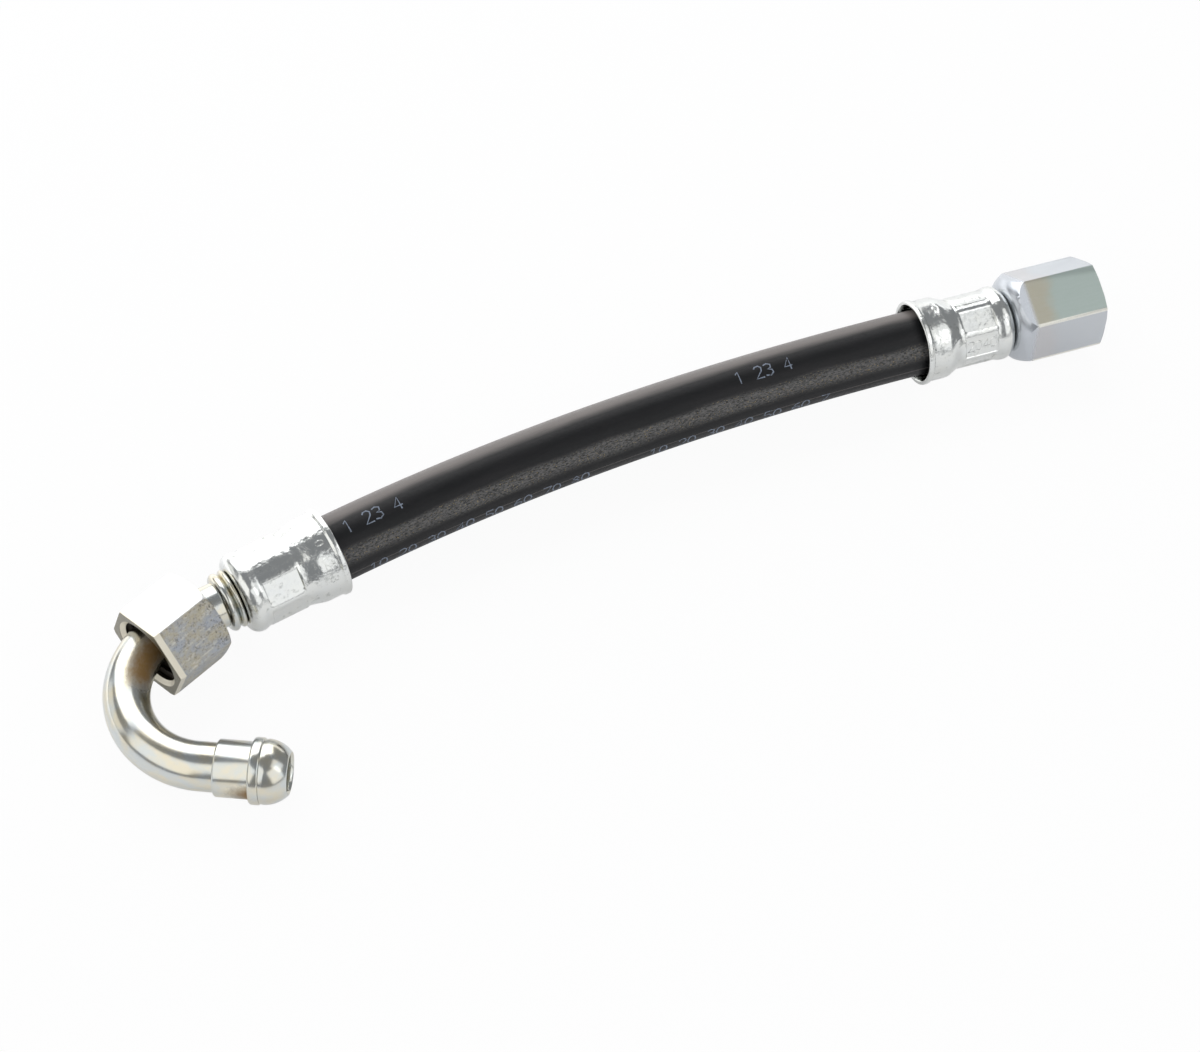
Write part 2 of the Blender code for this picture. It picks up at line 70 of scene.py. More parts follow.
# Hose
HOSE_RADIUS = 7.5 * MM
HOSE_STEPS = 150
HOSE_END_DEPTH = 19.6 * MM
HOSE_SQUEEZE = 6.8 * MM
PRINT_LETTERING = (3.0 * MM, 2.35 * MM, 0.16 * MM)
PRINT_FLATNESS = 0.25
DIGIT_CUTS = 8
STAMP_FLATNESS = 0.7
PRINT_ROWS = (
    ("1 23 4", 3.2 * MM, 110.0),
    ("1 23 4", 97.0 * MM, 114.0),
    ("10 20 30 40 50 60 70 80", 5.5 * MM, 202.0),
    ("10 20 30 40 50 60 7", 74.0 * MM, 204.0),
)
STAMP_LETTERING = (1.9 * MM, 1.75 * MM, 0.13 * MM)
LEFT_STAMP = ("0 12 3", math.radians(76), 4.4 * MM)
RAISED_LETTERING = (2.5 * MM, 1.85 * MM, 0.15 * MM)
RAISED_DIGITS = ("2040", math.radians(159), 10.5 * MM)
DIGIT_STROKES = {
    "0": ((30, 100), (8, 85), (0, 50), (8, 15), (30, 0), (54, 15), (62, 50), (54, 85), (30, 100)),
    "1": ((8, 80), (32, 100), (32, 0)),
    "2": ((2, 80), (14, 97), (42, 100), (60, 82), (54, 55), (0, 0), (64, 0)),
    "3": ((2, 90), (30, 100), (57, 86), (52, 60), (25, 52), (57, 42), (62, 18), (36, 0), (0, 8)),
    "4": ((46, 0), (46, 100), (0, 30), (64, 30)),
    "5": ((60, 100), (6, 100), (3, 58), (36, 62), (62, 42), (60, 15), (32, 0), (0, 8)),
    "6": ((52, 97), (22, 85), (3, 50), (5, 15), (30, 0), (58, 13), (60, 42), (32, 56), (5, 40)),
    "7": ((0, 100), (64, 100), (22, 0)),
    "8": ((32, 55), (8, 72), (32, 100), (56, 72), (32, 55), (3, 28), (32, 0), (61, 28), (32, 55)),
}

# Ferrules, measured from the open rim
FERRULE_LENGTH = 22.6 * MM
FERRULE_WALL = 0.8 * MM
RIM_RADIUS = 9.85 * MM
BARREL_RADIUS = 9.45 * MM
SHOULDER_REACH = 2.3 * MM
PAD_COUNT = 8
PAD_DEPTH = 0.5 * MM
RIDGE_HEIGHT = 0.14 * MM
PAD_LENGTH = 8.2 * MM
PAD_COLUMNS = 10
LEFT_FERRULE = (8.55 * MM, 5.0 * MM, 9.8 * MM, 8.95 * MM, math.radians(84))
RIGHT_FERRULE = (8.15 * MM, 4.4 * MM, 9.8 * MM, 8.6 * MM, math.radians(69))

# Tubes and ball noses
TUBE_RADIUS = 5.0 * MM
TUBE_WALL = 1.0 * MM
TUBE_FROM_RIM = 3.0 * MM
STUB_LENGTH = 36.15 * MM
BEND_RADIUS = 17.9 * MM
BEND_SQUEEZE = 0.045
NOSE_STRAIGHT = 3.5 * MM
BEAD_HEIGHT = 1.5 * MM
BEADS = ((23.3 * MM, 0.75 * MM), (25.15 * MM, 1.15 * MM))
BEAD_START = 22.55 * MM
BEAD_END = 26.3 * MM
BEAD_STEPS = 74
SLEEVE_RADIUS = 5.8 * MM
SLEEVE_LENGTH = 7.1 * MM
COLLAR_RADIUS = 6.75 * MM
COLLAR_LENGTH = 2.2 * MM
BALL_RADIUS = 6.6 * MM
BALL_CENTRE = 9.75 * MM
NOSE_MOUTH_RADIUS = 4.35 * MM
SOCKET_DEPTH = 8.0 * MM
RIGHT_SLEEVE_FROM_FERRULE = 1.4 * MM
FIT = 0.15 * MM

# Union nuts, measured from the mouth
ACROSS_FLATS = 19.0 * MM
ACROSS_CORNERS = ACROSS_FLATS / math.cos(math.pi / 6)
NUT_MOUTH_RADIUS = 8.4 * MM
THREAD_MAJOR = 8.05 * MM
THREAD_MINOR = 7.3 * MM
THREAD_CREST = 7.45 * MM
THREAD_PITCH = 1.5 * MM
NUT_HOLE_RADIUS = 6.05 * MM
LEFT_NUT_LENGTH = 14.3 * MM
LEFT_NUT_ROLL = math.radians(6.0)
RIGHT_NUT_MOUTH_FROM_RIM = 43.9 * MM
RIGHT_NUT_LENGTH = 21.15 * MM
RIGHT_NUT_FRONT = 0.4 * MM
RIGHT_NUT_BACK = (
    (10.97, 17.1),
    (10.75, 17.9),
    (10.35, 18.65),
    (9.85, 19.35),
    (9.2, 20.0),
    (8.5, 20.55),
    (7.7, 20.95),
    (6.75, 21.15),
)
RIGHT_NUT_CORNER_LENGTH = 17.1 * MM
RIGHT_NUT_ROLL = math.radians(27.7)


class Value:
    """A socket's value, which takes part in sums as a plain number does."""

    def __init__(self, look, socket):
        self.look = look
        self.socket = socket

    def maths(self, operation, first, second):
        return self.look.node("ShaderNodeMath", {"operation": operation}, {0: first, 1: second})

    def __add__(self, other):
        return self.maths("ADD", self, other)

    def __radd__(self, other):
        return self.maths("ADD", other, self)

    def __sub__(self, other):
        return self.maths("SUBTRACT", self, other)

    def __rsub__(self, other):
        return self.maths("SUBTRACT", other, self)

    def __mul__(self, other):
        return self.maths("MULTIPLY", self, other)

    def __rmul__(self, other):
        return self.maths("MULTIPLY", other, self)

    def __truediv__(self, other):
        return self.maths("DIVIDE", self, other)

    def __pow__(self, other):
        return self.maths("POWER", self, other)


class Look:
    """One material: its shader's plain values, and the nodes that vary them."""

    def __init__(self, name, plain):
        self.material = bpy.data.materials.new(name)
        self.material.use_nodes = True
        self.tree = self.material.node_tree
        self.shader = self.tree.nodes["Principled BSDF"]
        for socket, value in plain.items():
            self.set(socket, value)

    def set(self, name, value):
        socket = self.shader.inputs[name]
        if isinstance(value, Value):
            self.tree.links.new(value.socket, socket)
        else:
            socket.default_value = value

    def node(self, kind, settings=None, inputs=None, output=0):
        made = self.tree.nodes.new(kind)
        for name, value in (settings or {}).items():
            if name == "stops":
                self.set_stops(made.color_ramp, value)
            else:
                setattr(made, name, value)
        for name, value in (inputs or {}).items():
            if isinstance(value, Value):
                self.tree.links.new(value.socket, made.inputs[name])
            else:
                made.inputs[name].default_value = value
        return Value(self, made.outputs[output])

    def set_stops(self, ramp, stops):
        while len(ramp.elements) < len(stops):
            ramp.elements.new(1.0)
        for element, (place, colour) in zip(ramp.elements, stops):
            element.position = place
            element.color = colour

    def attribute(self, name, output="Vector"):
        return self.node("ShaderNodeAttribute", {"attribute_name": name}, output=output)

    def split(self, vector):
        made = self.tree.nodes.new("ShaderNodeSeparateXYZ")
        self.tree.links.new(vector.socket, made.inputs[0])
        return [Value(self, made.outputs[i]) for i in range(3)]

    def stretched(self, vector, scale):
        return self.node("ShaderNodeVectorMath", {"operation": "MULTIPLY"}, {0: vector, 1: scale})

    def noise(self, vector, scale, detail=4.0, roughness=0.55):
        inputs = {"Vector": vector, "Scale": scale, "Detail": detail, "Roughness": roughness}
        return self.node("ShaderNodeTexNoise", {}, inputs)

    def step(self, value, low, high):
        """0 below low and 1 above high, or the other way round when low is the greater."""
        settings = {"interpolation_type": "SMOOTHSTEP"}
        if low < high:
            return self.node("ShaderNodeMapRange", settings, {0: value, 1: low, 2: high})
        return 1.0 - self.node("ShaderNodeMapRange", settings, {0: value, 1: high, 2: low})

    def mix(self, factor, first, second):
        inputs = {0: factor, 6: first, 7: second}
        return self.node("ShaderNodeMix", {"data_type": "RGBA", "clamp_factor": True}, inputs, output=2)

    def glow_over(self, surface, strength, factor):
        """An even white glow, mixed over a surface."""
        glow = self.tree.nodes.new("ShaderNodeEmission")
        glow.inputs["Strength"].default_value = strength
        mixed = self.tree.nodes.new("ShaderNodeMixShader")
        self.tree.links.new(factor.socket, mixed.inputs[0])
        self.tree.links.new(surface, mixed.inputs[1])
        self.tree.links.new(glow.outputs[0], mixed.inputs[2])
        return mixed.outputs[0]

    def bump(self, height, strength, distance):
        inputs = {"Height": height, "Strength": strength, "Distance": distance}
        self.set("Normal", self.node("ShaderNodeBump", {}, inputs))


def rgb(red, green, blue):
    """A colour given as the eye reads it, from 0 to 255, in the shader's linear terms."""
    linear = []
    for part in (red, green, blue):
        share = part / 255
        linear.append(share / 12.92 if share <= 0.04045 else ((share + 0.055) / 1.055) ** 2.4)
    return (*linear, 1.0)


def rubber_look():
    look = Look("black_rubber", {"Specular IOR Level": 0.28})
    own = look.attribute("own")
    grain = look.noise(look.stretched(own, (0.6, 1.5, 1.0)), 2.4, 6.0, 0.7)
    cloudy = look.noise(look.stretched(own, (0.06, 0.4, 1.0)), 1.0, 3.0)
    painted_glint_specks = look.noise(own, 3.2, 1.0)
    around = look.split(own)[1] + 1.6 * cloudy
    # Partly dust and partly painted reflection: a grainy grey-brown band along the upper back of the hose stands in
    # for the back light glancing off it.
    dust_and_painted_top_reflection = look.step(around, 12.2, 9.6) * look.step(around, 2.0, 5.0)
    # Painted highlight: a lighter grainy band low on the front of the hose stands in for the reflection of the low
    # front light.
    painted_highlight_band = look.step(around, 17.4, 19.2) * look.step(around, 22.6, 20.2)
    colour = look.mix(look.step(cloudy, 0.35, 0.75), rgb(16, 17, 19), rgb(26, 25, 27))
    colour = look.mix(dust_and_painted_top_reflection * (0.6 + 0.6 * grain), colour, rgb(118, 112, 109))
    colour = look.mix(painted_highlight_band * look.step(grain, 0.3, 0.65), colour, rgb(108, 107, 106))
    # Painted glints: golden specks, only inside the painted highlight band.
    colour = look.mix(look.step(painted_glint_specks, 0.66, 0.72) * painted_highlight_band, colour, rgb(150, 132, 92))
    look.set("Base Color", colour)
    look.set("Roughness", 0.3 + 0.24 * look.step(grain, 0.35, 0.7) + 0.08 * cloudy)
    look.bump(grain, 0.5, 0.07 * MM)
    return look.material


def print_look():
    look = Look("print_ink", {"Roughness": 0.6})
    coordinates = look.node("ShaderNodeTexCoord", output="Object")
    worn = look.noise(coordinates, 1400.0, 2.0)
    look.set("Base Color", look.mix(look.step(worn, 0.3, 0.5), rgb(60, 64, 72), rgb(122, 132, 148)))
    return look.material


def bright_zinc_look():
    look = Look("bright_zinc", {"Metallic": 1.0})
    own = look.attribute("own")
    cloudy = look.noise(own, 0.3, 5.0)
    dents = look.noise(own, 0.85, 2.0, 0.4)
    fine = look.noise(own, 4.5, 3.0, 0.7)
    smudges = look.noise(own, 0.62, 6.0, 0.7)
    colour = look.mix(cloudy, rgb(212, 215, 216), rgb(224, 224, 218))
    colour = look.mix(look.step(smudges, 0.56, 0.7) * 0.55, colour, rgb(150, 153, 150))
    look.set("Base Color", colour)
    look.set("Roughness", 0.11 + 0.13 * look.step(smudges, 0.45, 0.7) + 0.06 * fine)
    look.bump(dents + 0.14 * fine + 0.5 * cloudy, 0.34, 0.3 * MM)
    return look.material


def warm_zinc_look():
    look = Look("warm_zinc", {})
    own = look.attribute("own")
    cloudy = look.noise(own, 0.22, 5.0)
    fine = look.noise(own, 5.0, 3.0)
    colour = look.mix(look.step(cloudy, 0.35, 0.65), rgb(214, 208, 190), rgb(202, 206, 205))
    # A brown, less metallic and rougher patch where the tube and ball nose are marked for it.
    stain = look.attribute("stain", "Fac")
    blotch = look.noise(own, 0.9, 6.0, 0.7)
    mask = look.step(stain + 0.5 * blotch, 0.45, 1.3)
    look.set("Base Color", look.mix(mask, colour, rgb(138, 108, 64)))
    look.set("Metallic", 1.0 - 0.75 * mask)
    look.set("Roughness", 0.15 + 0.08 * cloudy + 0.35 * mask)
    look.bump(cloudy + 0.12 * fine, 0.12, 0.2 * MM)
    return look.material


def worn_steel_look():
    look = Look("worn_steel", {})
    own = look.attribute("own")
    side, height, along = look.split(own)
    patches = look.noise(own, 0.24, 5.0, 0.7)
    streaks = look.noise(look.stretched(own, (1.0, 1.0, 0.22)), 1.7, 6.0, 0.75)
    speckle = look.noise(own, 1.5, 6.0, 0.85)
    colour = look.mix(look.step(patches, 0.36, 0.64), rgb(162, 167, 175), rgb(176, 169, 150))
    colour = look.mix(look.step(streaks, 0.52, 0.66) * 0.7, colour, rgb(206, 204, 194))
    dark = look.step(speckle, 0.5, 0.62) * (0.55 + 0.45 * look.step(along, -10.6, -12.2))
    colour = look.mix(dark, colour, rgb(82, 78, 70))
    # Painted highlight: the flat marked here is painted near white, standing in for the light it catches; it turns
    # with the nut.
    clean = look.step(side, 4.7, 4.3) * look.step(height, 8.3, 8.8)
    colour = look.mix(0.85 * clean, colour, rgb(242, 243, 244))
    colour = look.mix(look.step(along, -1.55, -1.35), colour, rgb(222, 216, 200))
    colour = look.mix(look.step(along, -0.14, -0.04), colour, rgb(132, 128, 114))
    # Painted shade: the bore behind the mouth is painted dark brown and less metallic, where little light reaches it.
    inside = look.attribute("stain", "Fac")
    painted_bore_shade = look.step(inside + 0.5 * speckle, 0.7, 0.9)
    look.set("Base Color", look.mix(painted_bore_shade, colour, rgb(58, 52, 42)))
    look.set("Metallic", 0.85 - 0.3 * painted_bore_shade - 0.3 * dark)
    look.set("Roughness", 0.22 + 0.22 * speckle)
    look.bump(speckle + 0.5 * streaks, 0.5, 0.12 * MM)
    return look.material


def satin_zinc_look():
    look = Look("satin_zinc", {})
    own = look.attribute("own")
    cloudy = look.noise(own, 0.13, 3.0)
    fine = look.noise(own, 6.0, 4.0, 0.7)
    brushed = look.noise(look.stretched(own, (1.0, 1.0, 0.15)), 2.0, 3.0)
    side, height, along = look.split(own)
    tint = look.mix(look.step(along + 7.0 * cloudy, -7.0, -11.0), rgb(166, 180, 173), rgb(174, 169, 149))
    # Painted light by flat: the main front flat takes the darker tint and the other flats mostly a lighter blue-grey,
    # standing in for the different light on each flat; it turns with the nut.
    main_flat_painted_darker = look.step(side, 0.6, 0.3) * look.step(height, 5.65, 5.95)
    colour = look.mix(0.3 + 0.7 * main_flat_painted_darker, rgb(208, 208, 216), tint)
    reach = look.node(
        "ShaderNodeVectorMath", {"operation": "LENGTH"}, {0: look.stretched(own, (1.0, 1.0, 0.0))}, "Value"
    )
    # Painted highlight: a broken cream line along a lower edge of the hexagon stands in for the light caught by that
    # edge.
    painted_edge_highlight = look.step(reach, 10.68, 10.82) * look.step(side, -4.0, -6.0) * look.step(fine, 0.25, 0.5)
    colour = look.mix(painted_edge_highlight, colour, rgb(246, 243, 232))
    colour = look.mix(look.step(along, -16.6, -18.0), colour, rgb(196, 200, 206))
    colour = look.mix(0.3 * brushed, colour, rgb(190, 195, 198))
    look.set("Base Color", colour)
    look.set("Metallic", 0.4 + 0.1 * fine + 0.35 * look.step(along, -16.6, -18.0))
    look.set("Roughness", 0.27 + 0.08 * fine - 0.1 * look.step(along, -16.6, -18.0))
    look.bump(fine + 0.6 * brushed, 0.22, 0.05 * MM)
    return look.material


def direction(azimuth):
    return Vector((math.cos(azimuth), math.sin(azimuth), 0.0))


def axis_frame(origin, azimuth):
    """A frame in the plan whose Z runs along an axis, with Y up and X to the axis's left."""
    left = direction(azimuth + math.pi / 2)
    turn = Matrix((left, Vector((0.0, 0.0, 1.0)), direction(azimuth))).transposed()
    return Matrix.Translation(origin) @ turn.to_4x4()


def joint_frame(name):
    """The frame of a nut's joint, with Z along its axis out of the mouth, and Y as near to up as it gets."""
    joint = next(joint for joint in frame["record"]["behaviour"]["joints"] if joint["name"] == name)
    along = Vector(joint["axis"]).normalized()
    left = Vector((0.0, 0.0, 1.0)).cross(along).normalized()
    turn = Matrix((left, along.cross(left), along)).transposed()
    return Matrix.Translation(joint["pos_m"]) @ turn.to_4x4()


def plan_place():
    turn = Vector((0.0, 0.0, 1.0)).rotation_difference(Vector(PLANE_UP))
    return Matrix.Translation(LEFT_RIM) @ turn.to_matrix().to_4x4()


def right_rim():
    return direction(HOSE_SPAN_AZIMUTH) * HOSE_SPAN


def bend_centre():
    return direction(LEFT_AZIMUTH) * -STUB_LENGTH + direction(LEFT_AZIMUTH - math.pi / 2) * BEND_RADIUS


def nose_place():
    end = bend_centre() + direction(NOSE_AZIMUTH - math.pi / 2) * BEND_RADIUS
    return axis_frame(end + direction(NOSE_AZIMUTH) * NOSE_STRAIGHT, NOSE_AZIMUTH)


def lathe(bm, outline, steps=TURN_STEPS):
    """Spins a closed outline of (radius, height) points a full turn round Z."""
    corners = [bm.verts.new((radius, 0.0, height)) for radius, height in outline]
    edges = [bm.edges.new(pair) for pair in zip(corners, corners[1:] + corners[:1])]
    bmesh.ops.spin(
        bm,
        geom=corners + edges,
        cent=(0.0, 0.0, 0.0),
        axis=(0.0, 0.0, 1.0),
        angle=math.tau,
        steps=steps,
        use_merge=True,
    )
    clean(bm)


def clean(bm):
    bmesh.ops.remove_doubles(bm, verts=bm.verts, dist=0.001 * MM)
    bmesh.ops.recalc_face_normals(bm, faces=bm.faces)


def soften(bm, width, segments=2, sharper_than=math.radians(28)):
    sharp = [edge for edge in bm.edges if edge.is_manifold and edge.calc_face_angle() > sharper_than]
    bmesh.ops.bevel(
        bm,
        geom=sharp,
        affect="EDGES",
        offset=width,
        offset_type="OFFSET",
        segments=segments,
        profile=0.5,
        clamp_overlap=True,
        material=-1,
    )


def remember_places(bm):
    """Keeps each point's place on the piece itself, in millimetres, for patterns to follow."""
    own = bm.verts.layers.float_vector.get("own") or bm.verts.layers.float_vector.new("own")
    for vertex in bm.verts:
        vertex[own] = vertex.co / MM


def sweep(bm, stations, sides=TUBE_SIDES):
    """Draws a ring along stations of (frame, width, height, distance), keeping distance and turn."""
    own = bm.verts.layers.float_vector.new("own")
    made = bmesh.ops.create_circle(bm, cap_ends=False, segments=sides, radius=1.0)["verts"]
    ring = list({edge for vertex in made for edge in vertex.link_edges})
    before = Matrix.Identity(4)
    rings = []
    for i, (place, width, height, distance) in enumerate(stations):
        here = place @ Matrix.Diagonal((width, height, 1.0, 1.0))
        if i:
            grown = bmesh.ops.extrude_edge_only(bm, edges=ring)["geom"]
            made = [item for item in grown if isinstance(item, bmesh.types.BMVert)]
            fresh = set(made)
            ring = [
                item
                for item in grown
                if isinstance(item, bmesh.types.BMEdge) and set(item.verts) <= fresh
            ]
        bmesh.ops.transform(bm, matrix=here @ before.inverted(), verts=made)
        before = here
        back = here.inverted()
        for vertex in made:
            flat = back @ vertex.co
            turn = math.atan2(flat.y, flat.x)
            vertex[own] = (distance / MM, turn * HOSE_RADIUS / MM, math.sin(turn))
        rings.append(ring)
    return rings


def blend(start, end, steps):
    """Points of an S-shaped step between two (radius, height) points, both ends included."""
    points = []
    for i in range(steps + 1):
        share = i / steps
        eased = share * share * (3 - 2 * share)
        points.append((start[0] + (end[0] - start[0]) * eased, start[1] + (end[1] - start[1]) * share))
    return points


def arc(centre, radius, start, end, steps):
    """Points of a round corner, with angles from the outward direction towards the far end."""
    points = []
    for i in range(steps + 1):
        angle = start + (end - start) * i / steps
        points.append((centre[0] + radius * math.cos(angle), centre[1] + radius * math.sin(angle)))
    return points


def piece(name, bm, place, look, slot, body, *nodes):
    """Makes the object, with its place in its mesh, hangs it on what it rides on, and hides the CAD parts it stands in
    for.
    """
    bm.transform(place)
    mesh = bpy.data.meshes.new(name)
    bm.to_mesh(mesh)
    bm.free()
    mesh.shade_smooth()
    mesh.set_sharp_from_angle(angle=math.radians(38))
    mesh.materials.append(look)
    obj = bpy.data.objects.new(name, mesh)
    bpy.context.scene.collection.objects.link(obj)
    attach(obj, body)
    if nodes:
        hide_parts(*nodes)
    return obj


def hose_points():
    """The centreline of the hose's free length, from rim to rim."""
    start = Vector((0.0, 0.0, 0.0))
    end = right_rim()
    first = start + direction(LEFT_AZIMUTH) * (HOSE_SPAN / 3)
    last = end - direction(RIGHT_AZIMUTH) * (HOSE_SPAN / 3)
    points = []
    for i in range(HOSE_STEPS + 1):
        t = i / HOSE_STEPS
        u = 1 - t
        points.append(u**3 * start + 3 * u * u * t * first + 3 * u * t * t * last + t**3 * end)
    return points


def hose_stations():
    """Stations from inside one ferrule to inside the other, as (frame, width, height, distance)."""
    points = hose_points()
    inside = [
        (HOSE_END_DEPTH, HOSE_SQUEEZE),
        (8.0 * MM, HOSE_SQUEEZE),
        (6.5 * MM, HOSE_SQUEEZE + 0.25 * MM),
        (4.5 * MM, HOSE_RADIUS - 0.15 * MM),
        (3.0 * MM, HOSE_RADIUS),
    ]
    stations = []
    for depth, radius in inside:
        place = axis_frame(direction(LEFT_AZIMUTH) * -depth, LEFT_AZIMUTH)
        stations.append((place, radius, radius, -depth))
    distance = 0.0
    for i, point in enumerate(points):
        before = points[max(i - 1, 0)]
        after = points[min(i + 1, len(points) - 1)]
        heading = math.atan2(after.y - before.y, after.x - before.x)
        distance += (point - before).length
        stations.append((axis_frame(point, heading), HOSE_RADIUS, HOSE_RADIUS, distance))
    for depth, radius in reversed(inside):
        place = axis_frame(points[-1] + direction(RIGHT_AZIMUTH) * depth, RIGHT_AZIMUTH)
        stations.append((place, radius, radius, distance + depth))
    return stations


def add_hose(place, look):
    stations = hose_stations()
    bm = bmesh.new()
    rings = sweep(bm, stations)
    bmesh.ops.holes_fill(bm, edges=rings[0] + rings[-1], sides=0)
    bmesh.ops.recalc_face_normals(bm, faces=bm.faces)
    hose = piece("rubber_hose", bm, place, look, "hose_rubber", "hose_body", "hose")
    route = [place @ station[0].translation for station in stations]
    return hose


def stroke_digits(digits, lettering):
    """A row of plain digits, each drawn in one round line in the XY plane."""
    size, pitch, stroke = lettering
    curve = bpy.data.curves.new("digits", "CURVE")
    curve.dimensions = "3D"
    curve.bevel_depth = stroke
    curve.bevel_resolution = 1
    for i, digit in enumerate(digits):
        if digit == " ":
            continue
        strokes = DIGIT_STROKES[digit]
        spline = curve.splines.new("POLY")
        spline.points.add(len(strokes) - 1)
        for point, (across, up) in zip(spline.points, strokes):
            point.co = (i * pitch + across / 100 * size, up / 100 * size, 0.0, 1.0)
    obj = bpy.data.objects.new("digits", curve)
    bpy.context.scene.collection.objects.link(obj)
    graph = bpy.context.evaluated_depsgraph_get()
    mesh = bpy.data.meshes.new_from_object(obj.evaluated_get(graph))
    bm = bmesh.new()
    bm.from_mesh(mesh)
    bpy.data.objects.remove(obj, do_unlink=True)
    bpy.data.curves.remove(curve)
    bpy.data.meshes.remove(mesh)
    bmesh.ops.remove_doubles(bm, verts=bm.verts, dist=0.001 * MM)
    for i in range(DIGIT_CUTS):
        height = size * i / DIGIT_CUTS
        everything = list(bm.verts) + list(bm.edges) + list(bm.faces)
        bmesh.ops.bisect_plane(bm, geom=everything, plane_co=(0, height, 0), plane_no=(0, 1, 0))
    return bm


def add_print(place, look):
    """Rows of plain digits along the hose, wrapped on its surface."""
    whole = bmesh.new()
    points = hose_points()
    for digits, along, turn in PRINT_ROWS:
        row = stroke_digits(digits, PRINT_LETTERING)
        for vertex in row.verts:
            share = min(max((along + vertex.co.x) / HOSE_SPAN, 0.0), 1.0) * HOSE_STEPS
            first = min(int(share), HOSE_STEPS - 1)
            point = points[first].lerp(points[first + 1], share - first)
            heading = points[first + 1] - points[first]
            here = axis_frame(point, math.atan2(heading.y, heading.x))
            angle = math.radians(turn) - vertex.co.y / HOSE_RADIUS
            radius = HOSE_RADIUS + vertex.co.z * PRINT_FLATNESS
            vertex.co = here @ Vector((radius * math.cos(angle), radius * math.sin(angle), 0.0))
        mesh = bpy.data.meshes.new("row")
        row.to_mesh(mesh)
        row.free()
        whole.from_mesh(mesh)
        bpy.data.meshes.remove(mesh)
    bmesh.ops.recalc_face_normals(whole, faces=whole.faces)
    return piece("hose_print", whole, place, look, "hose_rubber", "hose_body")


def add_left_stamp(place, look):
    """Small digits stamped down the front of the left ferrule, near its rim."""
    digits, turn, start = LEFT_STAMP
    bm = stroke_digits(digits, STAMP_LETTERING)
    for vertex in bm.verts:
        angle = turn - vertex.co.x / BARREL_RADIUS
        radius = BARREL_RADIUS + vertex.co.z * STAMP_FLATNESS
        vertex.co = Vector((radius * math.cos(angle), radius * math.sin(angle), start - vertex.co.y))
    remember_places(bm)
    return piece("left_stamp", bm, place, look, "bright_zinc", "hose_body")


def add_raised_digits(place, look):
    """Digits that stand on one of the right ferrule's pads."""
    digits, turn, start = RAISED_DIGITS
    bm = stroke_digits(digits, RAISED_LETTERING)
    out = Vector((math.cos(turn), math.sin(turn), 0.0))
    up = Vector((out.y, -out.x, 0.0))
    along = Vector((0.0, 0.0, 1.0))
    height = RIGHT_FERRULE[0] - PAD_DEPTH
    middle = RAISED_LETTERING[0] / 2
    for vertex in bm.verts:
        across = vertex.co.y - middle
        depth = height + vertex.co.z * STAMP_FLATNESS
        vertex.co = along * (start + vertex.co.x) + up * across + out * depth
    remember_places(bm)
    return piece("right_raised_digits", bm, place, look, "bright_zinc", "hose_body")


def ferrule_outline(crimp_radius, flare_length, pad_start, shoulder_radius):
    """The closed section of a ferrule, outside from the tube end to the rim and back inside."""
    neck = TUBE_RADIUS + FIT
    pad_end = pad_start + PAD_LENGTH
    flare_start = pad_start - flare_length
    top = FERRULE_LENGTH
    bulge = SHOULDER_REACH
    face = shoulder_radius - bulge
    outside = [(neck, top), (face, top)]
    outside += arc((face, top - bulge), bulge, math.pi / 2, 0.0, 12)[1:]
    outside += blend((shoulder_radius, top - bulge - 0.35 * MM), (crimp_radius, pad_end + 0.2 * MM), 5)
    rows = 10
    outside += [(crimp_radius, pad_end - PAD_LENGTH * i / rows) for i in range(rows + 1)]
    outside += blend((crimp_radius, pad_start - 0.3 * MM), (BARREL_RADIUS, flare_start), 12)
    outside += blend((BARREL_RADIUS, 1.65 * MM), (RIM_RADIUS, 1.05 * MM), 4)
    lip = 0.35 * MM
    outside += arc((RIM_RADIUS - lip, lip), lip, 0.0, -math.pi / 2, 5)
    wide = BARREL_RADIUS - FERRULE_WALL
    tight = crimp_radius - PAD_DEPTH - FERRULE_WALL
    inside = [(RIM_RADIUS - FERRULE_WALL, 0.1 * MM), (wide, 1.6 * MM)]
    inside += blend((wide, flare_start), (tight, pad_start), 6)
    inside += [(tight, top - 2.4 * MM), (neck + FERRULE_WALL, top - FERRULE_WALL), (neck, top - FERRULE_WALL)]
    return outside + inside


def pad_angle(turn, i):
    return turn + math.tau * i / PAD_COUNT


def press_pads(bm, crimp_radius, pad_start, turn):
    """Sinks the crimping tool's flat pads into the outside, and lets their edges show towards the rim."""
    half_width = math.tau / TURN_STEPS * PAD_COLUMNS / 2
    for i in range(PAD_COUNT):
        angle = pad_angle(turn, i)
        out = Vector((math.cos(angle), math.sin(angle), 0.0))
        across = Vector((-out.y, out.x, 0.0))
        pad = []
        for face in bm.faces:
            middle = face.calc_center_median()
            if not pad_start < middle.z < pad_start + PAD_LENGTH or face.normal.dot(out) < 0.5:
                continue
            flat = Vector((middle.x, middle.y, 0.0))
            if flat.length > crimp_radius - 0.2 * MM and abs(math.atan2(flat.dot(across), flat.dot(out))) < half_width:
                pad.append(face)
        bmesh.ops.inset_region(
            bm, faces=pad, thickness=0.22 * MM, depth=0.0, use_boundary=True, use_even_offset=True
        )
        floor = {vertex for face in pad for vertex in face.verts}
        for vertex in floor:
            sink = vertex.co.dot(out) - (crimp_radius - PAD_DEPTH)
            vertex.co -= out * sink


